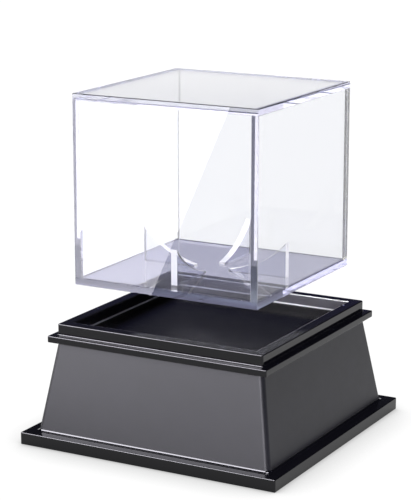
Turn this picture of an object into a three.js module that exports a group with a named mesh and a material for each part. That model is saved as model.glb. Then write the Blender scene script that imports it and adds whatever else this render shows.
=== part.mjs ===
// Acrylic display cube for a single ball, standing over a stepped black plinth.
// Millimetres, +Z up. The origin is the centre of the plinth's underside.
// X runs along the front of the plinth, and -Y is the front.

import * as THREE from 'three';
import { ConvexGeometry } from 'three/addons/geometries/ConvexGeometry.js';

// Clear case
const CASE_WIDTH = 88; // outer side of the square case
const CASE_HEIGHT = 83; // underside of the floor plate to the top of the top panel
const SHEET = 3; // thickness of every clear sheet
const RAISED = 22; // how far the case stands above its seat in the plinth

// Cradle fins
const CRADLE_RADIUS = 45; // radius of the curve that the ball lies in
const CRADLE_DIP = 0.1; // lowest point of that curve above the floor plate
const FIN_INNER = 8.5; // distance of a fin's inner tip from the centre
const FIN_OUTER = 34; // distance of a fin's upright outer edge from the centre
const ARC_SEGMENTS = 28;

// Plinth
const FOOT_WIDTH = 124;
const FOOT_THICKNESS = 5.5;
const BODY_BASE_WIDTH = 113; // tapered walls, across the outside at the bottom
const BODY_TOP_WIDTH = 100; // and at the top
const BODY_TOP = 45; // height of the tapered walls' upper edge
const BODY_SHEET = 3; // thickness of the tapered walls, measured level
const LIP_WIDTH = 106;
const LIP_THICKNESS = 3;
const RECESS_WIDTH = 89; // inside the rim, with 0.5 mm round the case
const RIM_THICKNESS = 5.25;
const RIM_HEIGHT = 5;

// Heights that follow
const LIP_TOP = BODY_TOP + LIP_THICKNESS;
const CASE_BASE = LIP_TOP + RAISED;
const FLOOR_TOP = CASE_BASE + SHEET;
const CASE_TOP = CASE_BASE + CASE_HEIGHT;
const WALL_HEIGHT = CASE_HEIGHT - 2 * SHEET;

const UP = new THREE.Vector3(0, 0, 1);
const SIDES = [
  { name: 'front', out: new THREE.Vector3(0, -1, 0) },
  { name: 'right', out: new THREE.Vector3(1, 0, 0) },
  { name: 'back', out: new THREE.Vector3(0, 1, 0) },
  { name: 'left', out: new THREE.Vector3(-1, 0, 0) },
];

const clearAcrylic = () =>
  new THREE.MeshStandardMaterial({
    color: 0xdfe1ee,
    roughness: 0.03,
    metalness: 0,
    transparent: true,
    opacity: 0.3,
  });
const blackAcrylic = () =>
  new THREE.MeshStandardMaterial({ color: 0x0b0b0d, roughness: 0.08, metalness: 0 });

function named(name, geometry, material) {
  const mesh = new THREE.Mesh(geometry, material);
  mesh.name = name;
  return mesh;
}

// A flat plate lying level, centred on the vertical axis, with its underside at the height given.
function levelPlate(name, width, thickness, underside, material) {
  const plate = named(name, new THREE.BoxGeometry(width, width, thickness), material);
  plate.position.z = underside + thickness / 2;
  return plate;
}

// One side of a square frame with mitred ends. Each ring gives a height and the half widths of the
// frame's outer and inner faces there, so two rings of different widths make a tapered side.
function mitredSide(name, out, rings, material) {
  const along = new THREE.Vector3().crossVectors(UP, out);
  const corners = [];
  for (const { height, outer, inner } of rings) {
    for (const reach of [outer, inner]) {
      for (const end of [-1, 1]) {
        corners.push(
          new THREE.Vector3(0, 0, height).addScaledVector(out, reach).addScaledVector(along, end * reach),
        );
      }
    }
  }
  return named(name, new ConvexGeometry(corners), material);
}

// The plinth: foot plate, four tapered walls, lip plate and a raised rim that makes the recess.
function plinth() {
  const group = new THREE.Group();
  group.add(levelPlate('foot_plate', FOOT_WIDTH, FOOT_THICKNESS, 0, blackAcrylic()));
  const wallRings = [
    { height: FOOT_THICKNESS, outer: BODY_BASE_WIDTH / 2, inner: BODY_BASE_WIDTH / 2 - BODY_SHEET },
    { height: BODY_TOP, outer: BODY_TOP_WIDTH / 2, inner: BODY_TOP_WIDTH / 2 - BODY_SHEET },
  ];
  const rimOuter = RECESS_WIDTH / 2 + RIM_THICKNESS;
  const rimRings = [LIP_TOP, LIP_TOP + RIM_HEIGHT].map((height) => ({
    height,
    outer: rimOuter,
    inner: RECESS_WIDTH / 2,
  }));
  for (const { name, out } of SIDES) {
    group.add(mitredSide(`plinth_wall_${name}`, out, wallRings, blackAcrylic()));
    group.add(mitredSide(`rim_strip_${name}`, out, rimRings, blackAcrylic()));
  }
  group.add(levelPlate('lip_plate', LIP_WIDTH, LIP_THICKNESS, BODY_TOP, blackAcrylic()));
  return group;
}

// The outline of a cradle fin: upright outer edge, level foot, and a hollow upper edge on which
// the ball lies. x is the distance from the centre and y the height above the floor plate.
function finShape() {
  const centreHeight = CRADLE_DIP + CRADLE_RADIUS;
  const angleAt = (distance) => -Math.acos(distance / CRADLE_RADIUS);
  const shape = new THREE.Shape();
  shape.moveTo(FIN_INNER, 0);
  shape.lineTo(FIN_OUTER, 0);
  shape.absarc(0, centreHeight, CRADLE_RADIUS, angleAt(FIN_OUTER), angleAt(FIN_INNER), true);
  shape.closePath();
  return shape;
}

function cradleFin(name, out) {
  const geometry = new THREE.ExtrudeGeometry(finShape(), {
    depth: SHEET,
    bevelEnabled: false,
    curveSegments: ARC_SEGMENTS,
  });
  geometry.translate(0, 0, -SHEET / 2);
  const across = new THREE.Vector3().crossVectors(out, UP);
  geometry.applyMatrix4(new THREE.Matrix4().makeBasis(out, UP, across));
  const fin = named(name, geometry, clearAcrylic());
  fin.position.z = FLOOR_TOP;
  return fin;
}

// The case's floor plate with its four fins. It lifts out of the plinth's recess.
function cradle() {
  const group = new THREE.Group();
  group.add(levelPlate('floor_plate', CASE_WIDTH, SHEET, CASE_BASE, clearAcrylic()));
  for (const { name, out } of SIDES) {
    group.add(cradleFin(`cradle_fin_${name}`, out));
  }
  return group;
}

// The five-sided cover. The left and right walls run the full depth, the front and back walls fit
// between them, and the top panel lies over all four.
function cover() {
  const group = new THREE.Group();
  for (const { name, out } of SIDES) {
    const runsFullDepth = out.x !== 0;
    const size = runsFullDepth ? [SHEET, CASE_WIDTH] : [CASE_WIDTH - 2 * SHEET, SHEET];
    const wall = named(
      `case_wall_${name}`,
      new THREE.BoxGeometry(...size, WALL_HEIGHT),
      clearAcrylic(),
    );
    wall.position.copy(out).multiplyScalar((CASE_WIDTH - SHEET) / 2);
    wall.position.z = FLOOR_TOP + WALL_HEIGHT / 2;
    group.add(wall);
  }
  group.add(levelPlate('top_panel', CASE_WIDTH, SHEET, CASE_TOP - SHEET, clearAcrylic()));
  return group;
}

const displayCube = new THREE.Group();
displayCube.add(plinth(), cradle(), cover());

export default displayCube;
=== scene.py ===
# Looks of the acrylic display cube: a clear case, drawn up out of the recess of a stepped black plinth.
# Metres, +Z up, -Y is the front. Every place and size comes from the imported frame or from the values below.

import math

import bmesh
import bpy
from mathutils import Matrix, Vector


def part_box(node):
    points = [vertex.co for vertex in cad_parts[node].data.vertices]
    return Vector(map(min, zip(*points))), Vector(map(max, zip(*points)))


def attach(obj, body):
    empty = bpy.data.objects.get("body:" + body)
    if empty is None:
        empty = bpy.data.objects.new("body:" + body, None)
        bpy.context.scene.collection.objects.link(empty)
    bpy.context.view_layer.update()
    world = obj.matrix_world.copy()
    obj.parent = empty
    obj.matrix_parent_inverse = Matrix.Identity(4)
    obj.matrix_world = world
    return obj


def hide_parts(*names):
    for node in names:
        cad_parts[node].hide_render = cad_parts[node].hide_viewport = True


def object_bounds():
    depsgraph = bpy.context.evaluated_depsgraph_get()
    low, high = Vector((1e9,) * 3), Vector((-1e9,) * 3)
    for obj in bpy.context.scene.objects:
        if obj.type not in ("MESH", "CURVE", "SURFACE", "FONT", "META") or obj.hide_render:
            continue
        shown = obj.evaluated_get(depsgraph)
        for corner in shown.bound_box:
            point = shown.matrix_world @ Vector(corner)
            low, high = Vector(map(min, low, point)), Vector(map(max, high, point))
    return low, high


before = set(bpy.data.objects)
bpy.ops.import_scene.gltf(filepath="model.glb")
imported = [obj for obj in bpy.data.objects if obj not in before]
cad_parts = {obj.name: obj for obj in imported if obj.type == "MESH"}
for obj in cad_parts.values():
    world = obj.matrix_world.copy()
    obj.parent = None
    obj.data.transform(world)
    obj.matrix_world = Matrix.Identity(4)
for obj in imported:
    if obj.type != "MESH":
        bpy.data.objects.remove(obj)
cad_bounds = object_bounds()

MM = 0.001
UP = Vector((0, 0, 1))
DOWN = -UP
SIDES = {"front": 0, "right": 90, "back": 180, "left": 270}  # turn about +Z that brings the front there
ALONG = 0.9  # least part of a unit vector that counts as pointing along an axis

# Solids as they come from the frame
JOIN_DISTANCE = 0.001 * MM
FLAT_ANGLE = math.radians(0.3)  # faces that meet at less than this are one flat face
SHARP_ANGLE = math.radians(30)  # edges that turn by more than this are bevelled
SMOOTH_ANGLE = math.radians(40)  # and, once bevelled, edges that turn by less are shaded smooth
SAME_HEIGHT = 1.0 * MM  # heights nearer than this are one level, or steps of one curve

# Clear sheets
SHEET_EDGE = 0.05 * MM  # chamfer of a polished edge
TOP_EDGE = 0.25 * MM  # and of the upper edges of the case
SHEET_GAP = 0.02 * MM  # how far each clear face is set in, so that no two share a plane
WELD_OVERLAP = 0.06 * MM  # how far a solvent-welded end is moved back out, into its neighbour
END_DEPTH = 0.1 * MM  # how near to a sheet's end a corner has to be to move with it
DEPTH_TINT = (0.60, 0.605, 0.70)  # colour of light that has run far inside a sheet
DEPTH_DENSITY = 30  # per metre

# Plinth
PLATE_EDGE = 0.4 * MM
PLATE_EDGE_STEPS = 3
PLATE_CORNER = 0.5 * MM
WALL_CORNER = 2.2 * MM
RIM_CORNER = 0.8 * MM
WALL_BEAD = 1.0 * MM  # radius of the hollow bead of cement at the foot of the walls
RIM_BEAD = 0.5 * MM
RIM_EDGE = 0.4 * MM
CURVE_STEPS = 5

# Camera
VIEW_AZIMUTH = math.radians(28.84)
VIEW_ELEVATION = math.radians(13.42)
VIEW_DISTANCE = 818.7 * MM
VIEW_OFFSET = Vector((-3.24, -1.78, 4.56)) * MM  # from the middle of the object
FOCAL_LENGTH = 134.5  # in millimetres
FARTHEST_VIEW = 50  # past the floor's edge
BOUNCES = 36  # enough for light that zigzags along a whole sheet

# Lamps: bearing, distance and height, height of the aim, size, radiance, and the rays that don't meet it.
# A bearing of 0 is the front and 90 the right.
LAMPS = {
    "key_softbox": ((-13, 1.4, 0.13), 0.13, (1.2, 0.26), 7.1, ["transmission"]),
    "front_softbox": ((8, 1.4, 0.30), 0.30, (0.8, 0.60), 7.0, ["transmission"]),
    "overhead_softbox": ((0, 0, 1.3), 0, (0.5, 0.5), 40.0, []),
    "high_strip": ((-36, 1.3, 0.95), 0, (1.4, 1.0), 30.0, ["transmission", "diffuse"]),
    "side_fill": ((80, 1.2, 0.5), 0.2, (0.8, 0.6), 12.0, ["glossy"]),
}
LIGHT_TINT = (0.93, 0.91, 1.0)

# A lamp that lies on the floor at the front left and shines up
REFLECTOR_CORNER = Vector((-132, -255, 2)) * MM  # the corner that is nearest to the object
REFLECTOR_TURN = math.radians(24.33)
REFLECTOR_SIZE = (1.0, 0.6)
REFLECTOR_RADIANCE = 6.5

# Black cards: bearing, distance and height, size
FLAGS = {
    "side_flag": ((85, 1.0, 0.35), (1.0, 0.8)),
    "rear_flag": ((148, 1.6, 0.35), (1.4, 0.7)),
}

# Floor
FLOOR_RADIUS = 8
FLOOR_CORNERS = 96
CONTACT_REACH = 30 * MM  # how far the contact shadow spreads
CONTACT_SAMPLES = 16
OPENNESS = (0.45, 0.98)  # of the floor, from deep in the shadow to clear of it
FLOOR_GLOW = (0.52, 1.05)  # brightness at those two
REFLECTED_FLOOR = 0.8  # brightness of the floor in reflections

# Sky colours by elevation in degrees
SKY = [
    (0.0, (1.0, 1.0, 1.0)),
    (6.5, (1.0, 1.0, 1.0)),
    (8.5, (0.75, 0.75, 0.78)),
    (12.0, (0.04, 0.04, 0.15)),
    (14.0, (0.03, 0.03, 0.13)),
    (15.5, (0.05, 0.05, 0.07)),
    (20.0, (0.01, 0.01, 0.012)),
]

# What light sees that has run along inside a clear sheet. Sky colours are by elevation in degrees, and each
# floor colour holds from its Y in metres to the next.
PIPED_BOUNCES = 2.5  # light that has been reflected more often than this is piped
PIPED_SKY_FRONT = [
    (0.0, (3.4, 3.3, 2.9)),
    (18.0, (3.2, 3.1, 2.7)),
    (22.0, (0.3, 0.3, 0.35)),
]
PIPED_SKY_BACK = [
    (0.0, (1.8, 1.8, 1.55)),
    (10.2, (1.8, 1.8, 1.55)),
    (12.5, (0.22, 0.24, 0.28)),
    (14.6, (0.22, 0.24, 0.28)),
    (15.3, (1.1, 1.2, 1.15)),
    (18.0, (1.0, 1.1, 1.1)),
    (30.0, (0.15, 0.15, 0.18)),
]
PIPED_FLOOR_LEFT = [
    (-1.0, (5.0, 4.9, 4.2)),
    (-0.12, (0.9, 0.9, 0.9)),
    (0.10, (0.50, 0.50, 0.52)),
    (0.80, (3.0, 2.9, 2.6)),
]
PIPED_FLOOR_RIGHT = [
    (-1.0, (1.3, 1.3, 1.2)),
    (0.20, (0.6, 0.6, 0.6)),
    (0.318, (2.9, 2.8, 2.5)),
    (0.835, (1.8, 1.8, 1.55)),
]


# ---------------------------------------------------------------- materials

PLAIN_SPECULAR = 0.5
BLACK_INDEX = 1.40
CLEAR_INDEX = 1.49
NOISE_RANGE = (0.3, 0.7)  # where nearly all noise lies
MOTTLE_RANGE = (0.35, 0.65)
MOTTLE_SHADE = 0.8  # brightness of the darker patches
WAVE_HEIGHT = 0.02 * MM
CLEAR_ROUGHNESS = (0.0, 0.003)


def new_material(name):
    made = bpy.data.materials.new(name)
    made.use_nodes = True
    return made, made.node_tree, made.node_tree.nodes["Principled BSDF"]


def set_inputs(node, values):
    for name, value in values.items():
        node.inputs[name].default_value = value


def noise(tree, scale, detail):
    """Noise that sits still on the object, with scale in features per metre."""
    place = tree.nodes.new("ShaderNodeTexCoord")
    texture = tree.nodes.new("ShaderNodeTexNoise")
    set_inputs(texture, {"Scale": scale, "Detail": detail})
    tree.links.new(place.outputs["Object"], texture.inputs["Vector"])
    return texture.outputs["Fac"]


def map_range(tree, value, source, target):
    """Maps a value from the range source to the range target."""
    node = tree.nodes.new("ShaderNodeMapRange")
    set_inputs(node, {"From Min": source[0], "From Max": source[1], "To Min": target[0], "To Max": target[1]})
    tree.links.new(value, node.inputs["Value"])
    return node.outputs["Result"]


def black_acrylic(name, colour, roughness, waviness, specular=PLAIN_SPECULAR):
    """Black sheet, faintly mottled, with uneven roughness and slightly wavy faces."""
    made, tree, shader = new_material(name)
    mottle = tree.nodes.new("ShaderNodeValToRGB")
    dark, full = mottle.color_ramp.elements
    dark.position, full.position = MOTTLE_RANGE
    dark.color = (*[MOTTLE_SHADE * c for c in colour], 1)
    full.color = (*colour, 1)
    tree.links.new(noise(tree, scale=90, detail=4), mottle.inputs["Fac"])
    tree.links.new(mottle.outputs["Color"], shader.inputs["Base Color"])
    uneven = map_range(tree, noise(tree, scale=260, detail=5), NOISE_RANGE, roughness)
    tree.links.new(uneven, shader.inputs["Roughness"])
    bump = tree.nodes.new("ShaderNodeBump")
    set_inputs(bump, {"Strength": waviness, "Distance": WAVE_HEIGHT})
    tree.links.new(noise(tree, scale=150, detail=1), bump.inputs["Height"])
    tree.links.new(bump.outputs["Normal"], shader.inputs["Normal"])
    set_inputs(shader, {"IOR": BLACK_INDEX, "Specular IOR Level": specular})
    return made


def clear_acrylic(name, tint, transmission=1.0, specular=PLAIN_SPECULAR):
    """Clear sheet that turns blue-grey where it is seen along its depth."""
    made, tree, shader = new_material(name)
    set_inputs(shader, {"Base Color": (*tint, 1), "Transmission Weight": transmission})
    set_inputs(shader, {"IOR": CLEAR_INDEX, "Specular IOR Level": specular})
    uneven = map_range(tree, noise(tree, scale=120, detail=3), NOISE_RANGE, CLEAR_ROUGHNESS)
    tree.links.new(uneven, shader.inputs["Roughness"])
    depth = tree.nodes.new("ShaderNodeVolumeAbsorption")
    set_inputs(depth, {"Color": (*DEPTH_TINT, 1), "Density": DEPTH_DENSITY})
    tree.links.new(depth.outputs["Volume"], tree.nodes["Material Output"].inputs["Volume"])
    return made


GLOSS_BLACK = black_acrylic("black_acrylic_gloss", (0.002, 0.002, 0.003), (0.06, 0.09), 0.01)
SATIN_BLACK = black_acrylic("black_acrylic_satin", (0.006, 0.006, 0.009), (0.33, 0.36), 0.03)
RECESS_BLACK = black_acrylic("black_acrylic_recess", (0.002, 0.002, 0.002), (0.18, 0.22), 0.03, specular=0.18)
# Grey copy of the black acrylic, for the inside faces of the front and back rim strips only: painted light
# where light falls on them.
PAINTED_LIT_INSIDE = black_acrylic("black_acrylic_rim_inside_painted_light", (0.115, 0.113, 0.122), (0.30, 0.34), 0.03)
# Pale, grey and dim colours for thin bright lines on the rims' inner beads and upper edges: painted
# highlights, bright, mid and dim.
BRIGHT_PAINTED_HIGHLIGHT = black_acrylic("black_acrylic_painted_highlight_bright", (0.78, 0.80, 0.74), (0.30, 0.34), 0.03)
MID_PAINTED_HIGHLIGHT = black_acrylic("black_acrylic_painted_highlight_mid", (0.28, 0.28, 0.28), (0.30, 0.34), 0.03)
DIM_PAINTED_HIGHLIGHT = black_acrylic("black_acrylic_painted_highlight_dim", (0.07, 0.07, 0.075), (0.30, 0.34), 0.03)
CLEAR_COVER = clear_acrylic("clear_acrylic_cover", (0.975, 0.98, 0.99))
CLEAR_CRADLE = clear_acrylic("clear_acrylic_cradle", (0.67, 0.67, 0.82))
CLEAR_FIN = clear_acrylic("clear_acrylic_fin", (0.86, 0.87, 0.93))
SAWN_EDGE = clear_acrylic("clear_acrylic_sawn_edge", (1.0, 1.0, 1.0), transmission=0.08)
# Near-black tint for the top panel's upper chamfers: painted shade for the dark line along them.
PAINTED_DARK_CHAMFER = clear_acrylic("clear_acrylic_chamfer_painted_shade", (0.08, 0.08, 0.10), specular=0.05)
WELD = clear_acrylic("clear_acrylic_weld", (0.40, 0.41, 0.54), transmission=0.3)
JOINT = clear_acrylic("clear_acrylic_joint", (0.30, 0.30, 0.36), transmission=0.3)

# Inside of each rim strip: its face, the bead at its foot and its upper edge. The faces are grey on the front
# and back strips and black on the sides, as painted light and shade, and the pale, grey and dim beads and
# edges are painted highlights.
RIM_INSIDE = {
    "front": (PAINTED_LIT_INSIDE, GLOSS_BLACK, MID_PAINTED_HIGHLIGHT),
    "right": (GLOSS_BLACK, GLOSS_BLACK, MID_PAINTED_HIGHLIGHT),
    "back": (PAINTED_LIT_INSIDE, BRIGHT_PAINTED_HIGHLIGHT, BRIGHT_PAINTED_HIGHLIGHT),
    "left": (GLOSS_BLACK, DIM_PAINTED_HIGHLIGHT, GLOSS_BLACK),
}


# ---------------------------------------------------------------- meshes


def add_piece(name, bm, materials, body, node):
    """Turns a bmesh into a piece that rides on a body and stands for a CAD node."""
    bmesh.ops.recalc_face_normals(bm, faces=bm.faces)
    mesh = bpy.data.meshes.new(name)
    bm.to_mesh(mesh)
    bm.free()
    for material in materials:
        mesh.materials.append(material)
    mesh.set_sharp_from_angle(angle=SMOOTH_ANGLE)
    piece = bpy.data.objects.new(name, mesh)
    bpy.context.scene.collection.objects.link(piece)
    flat = piece.modifiers.new("flat_faces", "WEIGHTED_NORMAL")
    flat.weight = 100
    flat.keep_sharp = True
    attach(piece, body)
    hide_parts(node)


def solid_of(node):
    """The CAD node's solid with its vertices joined and its flat faces whole."""
    bm = bmesh.new()
    bm.from_mesh(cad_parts[node].data)
    bmesh.ops.remove_doubles(bm, verts=bm.verts, dist=JOIN_DISTANCE)
    bmesh.ops.dissolve_limit(bm, angle_limit=FLAT_ANGLE, verts=bm.verts, edges=bm.edges)
    return bm


def sharp_edges(bm):
    return [e for e in bm.edges if e.calc_face_angle(0) > SHARP_ANGLE]


def bevel(bm, edges, width, steps=1):
    bmesh.ops.bevel(
        bm, geom=edges, offset=width, segments=steps, profile=0.5, affect="EDGES", clamp_overlap=True
    )


def paint(bm, index, chosen):
    """Gives the material at an index to the faces that a test chooses."""
    bm.normal_update()
    for face in bm.faces:
        if chosen(face):
            face.material_index = index


# ---------------------------------------------------------------- clear case


def clear_sheet(node, weld=None):
    """A clear solid, its faces set in by a hair. A weld is the direction of an end that reaches out again."""
    bm = solid_of(node)
    bm.normal_update()
    moves = [(v, v.normal * v.calc_shell_factor() * SHEET_GAP) for v in bm.verts]
    for v, move in moves:
        v.co -= move
    if weld is not None:
        reach = max(v.co.dot(weld) for v in bm.verts)
        for v in bm.verts:
            if v.co.dot(weld) > reach - END_DEPTH:
                v.co += weld * WELD_OVERLAP
    bm.normal_update()
    return bm


def add_clear(node, bm, body, materials):
    add_piece(node + "_polished", bm, materials, body, node)


def floor_plate():
    bm = clear_sheet("floor_plate")
    bevel(bm, sharp_edges(bm), SHEET_EDGE)
    add_clear("floor_plate", bm, "cradle", [CLEAR_CRADLE])


def cradle_fin(side):
    """An upright fin. Its faces and its welded foot are clear, and its other edges are pale from the saw."""
    node = f"cradle_fin_{side}"
    bm = clear_sheet(node, weld=DOWN)
    bevel(bm, sharp_edges(bm), SHEET_EDGE)
    low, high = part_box(node)
    thin = min(range(2), key=lambda axis: high[axis] - low[axis])
    paint(bm, 1, lambda face: abs(face.normal[thin]) < ALONG and face.normal.z > -ALONG)
    add_clear(node, bm, "cradle", [CLEAR_FIN, SAWN_EDGE])


def case_wall(side):
    """A wall of the case. The welds under the top's left and back edges and at the back left corner show."""
    node = f"case_wall_{side}"
    bm = clear_sheet(node, weld=UP)
    bevel(bm, sharp_edges(bm), SHEET_EDGE)
    if side in ("left", "back"):
        paint(bm, 1, lambda face: face.normal.z > ALONG)
    if side == "back":
        paint(bm, 2, lambda face: face.normal.x < -ALONG)
    add_clear(node, bm, "cover", [CLEAR_COVER, WELD, JOINT])


def top_panel():
    """The top of the case. Its upper edges have wider chamfers, tinted near black: painted shade for the dark
    line along them.
    """
    bm = clear_sheet("top_panel")
    top = max(v.co.z for v in bm.verts)
    bevel(bm, [e for e in sharp_edges(bm) if all(v.co.z > top - SHEET_GAP for v in e.verts)], TOP_EDGE)
    paint(bm, 1, lambda face: 1 - ALONG < face.normal.z < ALONG)
    under_chamfers = top - 1.5 * TOP_EDGE
    bevel(bm, [e for e in sharp_edges(bm) if any(v.co.z < under_chamfers for v in e.verts)], SHEET_EDGE)
    add_clear("top_panel", bm, "cover", [CLEAR_COVER, PAINTED_DARK_CHAMFER])


# ---------------------------------------------------------------- plinth


def cut_square(bm, half):
    """Cuts a mesh along the four upright planes of a square."""
    for normal in map(Vector, ((1, 0, 0), (-1, 0, 0), (0, 1, 0), (0, -1, 0))):
        everything = bm.verts[:] + bm.edges[:] + bm.faces[:]
        bmesh.ops.bisect_plane(bm, geom=everything, plane_co=normal * half, plane_no=normal)


def plate(node, recess=None):
    """A level plate with rounded corners and edges. Its top is dull inside a recess of that half width."""
    bm = solid_of(node)
    upright = [e for e in bm.edges if abs((e.verts[0].co - e.verts[1].co).normalized().z) > ALONG]
    bevel(bm, upright, PLATE_CORNER, CURVE_STEPS)
    bevel(bm, sharp_edges(bm), PLATE_EDGE, PLATE_EDGE_STEPS)
    materials = [GLOSS_BLACK]
    if recess:
        cut_square(bm, recess)
        materials.append(RECESS_BLACK)

        def in_recess(face):
            middle = face.calc_center_median()
            return face.normal.z > ALONG and max(abs(middle.x), abs(middle.y)) < recess

        paint(bm, 1, in_recess)
    add_piece(node + "_edged", bm, materials, "plinth", node)


def side_outline(height, outer, inner, corner):
    """Front side of a square ring at one height: round its outer corners, each as far as the mitre, and back
    along its inner face."""
    points = []
    for sign, start in ((-1, 225), (1, 270)):
        centre = Vector((sign * (outer - corner), -(outer - corner), height))
        for step in range(CURVE_STEPS + 1):
            angle = math.radians(start + 45 * step / CURVE_STEPS)
            points.append(centre + corner * Vector((math.cos(angle), math.sin(angle), 0)))
    points.append(Vector((inner, -inner, height)))
    points.append(Vector((-inner, -inner, height)))
    return points


OUTER, BEAD, INNER, INNER_BEAD, INNER_TOP = range(5)  # places in the list of a ring side's materials


def ring_side(name, side, levels, corner, materials, node):
    """One mitred side of a square ring. Each level gives height, outer and inner half width."""
    bm = bmesh.new()
    turn = Matrix.Rotation(math.radians(SIDES[side]), 4, "Z")
    rings = [
        [bm.verts.new(turn @ point) for point in side_outline(height, outer, inner, corner)]
        for height, outer, inner in levels
    ]
    middle = (levels[0][0] + levels[-1][0]) / 2
    for lower, upper in zip(rings, rings[1:]):
        bottom, top = lower[0].co.z, upper[0].co.z
        flat = top - bottom > SAME_HEIGHT
        curved_inner = INNER_TOP if bottom > middle else INNER_BEAD
        for i in range(len(lower)):
            j = (i + 1) % len(lower)
            face = bm.faces.new((lower[i], lower[j], upper[j], upper[i]))
            if i == len(lower) - 2:
                face.material_index = INNER if flat else curved_inner
            else:
                face.material_index = OUTER if flat else BEAD
    bm.faces.new(rings[0])
    bm.faces.new(rings[-1])
    add_piece(name, bm, materials, "plinth", node)


QUARTER = [math.pi / 2 * step / CURVE_STEPS for step in range(CURVE_STEPS + 1)]  # angles of a quarter turn


def wall_levels():
    """A tapered wall that flares into a hollow bead where it meets the foot plate."""
    low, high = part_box("plinth_wall_front")
    corners = [v.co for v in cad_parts["plinth_wall_front"].data.vertices]
    # Half widths at the bottom and at the top
    outer = -low.y, max(c.x for c in corners if c.z > high.z - SAME_HEIGHT)
    inner = -max(c.y for c in corners if c.z < low.z + SAME_HEIGHT), -high.y

    def half_at(z, bottom, top):
        return bottom + (top - bottom) * (z - low.z) / (high.z - low.z)

    levels = []
    for angle in QUARTER:
        z = low.z + WALL_BEAD * (1 - math.cos(angle))
        levels.append((z, half_at(z, *outer) + WALL_BEAD * (1 - math.sin(angle)), half_at(z, *inner)))
    levels.append((high.z, outer[1], inner[1]))
    return levels


def rim_levels():
    """A rim strip with a bead at its foot on both faces and a rounded top."""
    low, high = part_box("rim_strip_front")
    outer, inner = -low.y, -high.y
    levels = []
    for angle in QUARTER:
        bead = RIM_BEAD * (1 - math.sin(angle))
        levels.append((low.z + RIM_BEAD * (1 - math.cos(angle)), outer + bead, inner - bead))
    for angle in QUARTER:
        cut = RIM_EDGE * (1 - math.cos(angle))
        levels.append((high.z - RIM_EDGE * (1 - math.sin(angle)), outer - cut, inner + cut))
    return levels


def plinth_wall(side):
    node = f"plinth_wall_{side}"
    materials = [SATIN_BLACK, GLOSS_BLACK, SATIN_BLACK, GLOSS_BLACK]
    ring_side(node + "_shell", side, wall_levels(), WALL_CORNER, materials, node)


def rim_strip(side):
    node = f"rim_strip_{side}"
    materials = [GLOSS_BLACK, GLOSS_BLACK, *RIM_INSIDE[side]]
    ring_side(node + "_edged", side, rim_levels(), RIM_CORNER, materials, node)


plate("foot_plate")
plate("lip_plate", recess=-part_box("rim_strip_front")[1].y)
for side in SIDES:
    plinth_wall(side)
    rim_strip(side)
floor_plate()
for side in SIDES:
    cradle_fin(side)
    case_wall(side)
top_panel()


# ---------------------------------------------------------------- studio


def math_node(tree, operation, *values):
    """One operation on values that are numbers or sockets."""
    node = tree.nodes.new("ShaderNodeMath")
    node.operation = operation
    for socket, value in zip(node.inputs, values):
        if isinstance(value, (int, float)):
            socket.default_value = value
        else:
            tree.links.new(value, socket)
    return node.outputs["Value"]


def mix_colours(tree, factor, first, second):
    """The first colour where the factor is 0, and the second where it is 1."""
    node = tree.nodes.new("ShaderNodeMix")
    node.data_type = "RGBA"
    tree.links.new(factor, node.inputs["Factor"])
    for name, value in (("A", first), ("B", second)):
        if isinstance(value, tuple):
            node.inputs[name].default_value = value
        else:
            tree.links.new(value, node.inputs[name])
    return node.outputs["Result"]


def ramp(tree, value, stops, stepped=False):
    """Colours by a value from -1 to 1, lowest first."""
    node = tree.nodes.new("ShaderNodeValToRGB")
    node.color_ramp.interpolation = "CONSTANT" if stepped else "LINEAR"
    elements = node.color_ramp.elements
    elements.remove(elements[1])
    for i, (at, colour) in enumerate(stops):
        element = elements.new((at + 1) / 2) if i else elements[0]
        element.position = (at + 1) / 2
        element.color = (*colour, 1)
    tree.links.new(math_node(tree, "MULTIPLY_ADD", value, 0.5, 0.5), node.inputs["Fac"])
    return node.outputs["Color"]


def piped_light(tree):
    """1 for light that has run along inside a clear sheet, and 0 for all other light."""
    path = tree.nodes.new("ShaderNodeLightPath")
    return math_node(tree, "GREATER_THAN", path.outputs["Glossy Depth"], PIPED_BOUNCES)


def place_along(tree, kind, axis):
    """One coordinate of a place, as a socket."""
    place = tree.nodes.new("ShaderNodeTexCoord")
    split = tree.nodes.new("ShaderNodeSeparateXYZ")
    tree.links.new(place.outputs[kind], split.inputs["Vector"])
    return split.outputs[axis]


def floor_colour(tree):
    """White, a little darker in reflections. Piped light sees patches of other brightness."""
    on_right = math_node(tree, "GREATER_THAN", place_along(tree, "Object", "X"), 0)
    depth = place_along(tree, "Object", "Y")
    left = ramp(tree, depth, PIPED_FLOOR_LEFT, stepped=True)
    right = ramp(tree, depth, PIPED_FLOOR_RIGHT, stepped=True)
    piped = mix_colours(tree, on_right, left, right)
    reflected = tree.nodes.new("ShaderNodeLightPath").outputs["Is Reflection Ray"]
    plain = mix_colours(tree, reflected, (1, 1, 1, 1), (*[REFLECTED_FLOOR] * 3, 1))
    return mix_colours(tree, piped_light(tree), plain, piped)


def floor():
    """An evenly lit floor with a contact shadow."""
    bpy.ops.mesh.primitive_circle_add(vertices=FLOOR_CORNERS, radius=FLOOR_RADIUS, fill_type="NGON")
    ground = bpy.context.object
    ground.name = "studio_floor"
    made = bpy.data.materials.new("studio_floor")
    made.use_nodes = True
    tree = made.node_tree
    tree.nodes.clear()
    contact = tree.nodes.new("ShaderNodeAmbientOcclusion")
    set_inputs(contact, {"Distance": CONTACT_REACH})
    contact.samples = CONTACT_SAMPLES
    glow = tree.nodes.new("ShaderNodeEmission")
    tree.links.new(map_range(tree, contact.outputs["AO"], OPENNESS, FLOOR_GLOW), glow.inputs["Strength"])
    tree.links.new(floor_colour(tree), glow.inputs["Color"])
    output = tree.nodes.new("ShaderNodeOutputMaterial")
    tree.links.new(glow.outputs["Emission"], output.inputs["Surface"])
    ground.data.materials.append(made)


def by_height(stops):
    """Turns elevations in degrees into heights on the unit sphere."""
    return [(math.sin(math.radians(degrees)), colour) for degrees, colour in stops]


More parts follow.
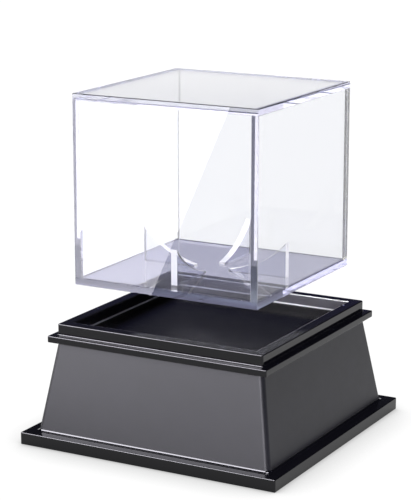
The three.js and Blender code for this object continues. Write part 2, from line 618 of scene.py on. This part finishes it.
def sky():
    """White at the horizon, falling through dark blue to black. Piped light sees it brighter."""
    world = bpy.data.worlds.new("studio_sky")
    bpy.context.scene.world = world
    world.use_nodes = True
    tree = world.node_tree
    height = place_along(tree, "Generated", "Z")
    behind = math_node(tree, "GREATER_THAN", place_along(tree, "Generated", "Y"), 0)
    front = ramp(tree, height, by_height(PIPED_SKY_FRONT))
    back = ramp(tree, height, by_height(PIPED_SKY_BACK))
    piped = mix_colours(tree, behind, front, back)
    colour = mix_colours(tree, piped_light(tree), ramp(tree, height, by_height(SKY)), piped)
    tree.links.new(colour, tree.nodes["Background"].inputs["Color"])


def around(bearing, distance, height):
    turn = math.radians(bearing)
    return Vector((math.sin(turn) * distance, -math.cos(turn) * distance, height))


def hide_from(thing, *rays):
    for kind in rays:
        setattr(thing, "visible_" + kind, False)


def softbox(name, place, aim, size, radiance):
    """A soft rectangular lamp of even radiance, out of the camera's sight."""
    lamp = bpy.data.lights.new(name, "AREA")
    lamp.shape = "RECTANGLE"
    lamp.size, lamp.size_y = size
    lamp.energy = radiance * math.pi * size[0] * size[1]
    lamp.color = LIGHT_TINT
    box = bpy.data.objects.new(name, lamp)
    box.location = place
    box.rotation_euler = (aim - place).to_track_quat("-Z", "Y").to_euler()
    hide_from(box, "camera")
    bpy.context.scene.collection.objects.link(box)
    return box


def low_reflector():
    along = Vector((-math.sin(REFLECTOR_TURN), -math.cos(REFLECTOR_TURN), 0))
    across = Vector((-math.cos(REFLECTOR_TURN), math.sin(REFLECTOR_TURN), 0))
    length, width = REFLECTOR_SIZE
    centre = REFLECTOR_CORNER + along * length / 2 + across * width / 2
    card = softbox("low_reflector", centre, centre + UP, REFLECTOR_SIZE, REFLECTOR_RADIANCE)
    axes = Matrix((along, across, DOWN)).transposed()
    card.matrix_world = Matrix.Translation(centre) @ axes.to_4x4()
    hide_from(card, "transmission")


def flag(name, place, size):
    """A black card that only reflections see."""
    bpy.ops.mesh.primitive_plane_add(size=1, location=place)
    card = bpy.context.object
    card.name = name
    card.scale = (*size, 1)
    card.rotation_euler = (UP * place.z - place).to_track_quat("Z", "Y").to_euler()
    made, _, shader = new_material(name)
    set_inputs(shader, {"Base Color": (0, 0, 0, 1), "Specular IOR Level": 0})
    card.data.materials.append(made)
    hide_from(card, "camera", "transmission", "diffuse", "shadow")


def lights():
    for name, (place, aim_height, size, radiance, unseen_by) in LAMPS.items():
        box = softbox(name, around(*place), UP * aim_height, size, radiance)
        hide_from(box, *unseen_by)
    low_reflector()
    for name, (place, size) in FLAGS.items():
        flag(name, around(*place), size)


def camera():
    low, high = cad_bounds
    target = (Vector(low) + Vector(high)) / 2 + VIEW_OFFSET
    data = bpy.data.cameras.new("photo_camera")
    data.lens = FOCAL_LENGTH
    data.clip_end = FARTHEST_VIEW
    eye = bpy.data.objects.new("photo_camera", data)
    level = math.cos(VIEW_ELEVATION)
    toward = Vector(
        (math.sin(VIEW_AZIMUTH) * level, -math.cos(VIEW_AZIMUTH) * level, math.sin(VIEW_ELEVATION))
    )
    eye.location = target + toward * VIEW_DISTANCE
    eye.rotation_euler = (-toward).to_track_quat("-Z", "Y").to_euler()
    bpy.context.scene.collection.objects.link(eye)
    bpy.context.scene.camera = eye


floor()
sky()
lights()
camera()
bpy.context.scene.view_settings.view_transform = "Standard"
bpy.context.scene.cycles.max_bounces = BOUNCES
bpy.context.scene.cycles.transmission_bounces = BOUNCES
bpy.context.scene.cycles.glossy_bounces = BOUNCES
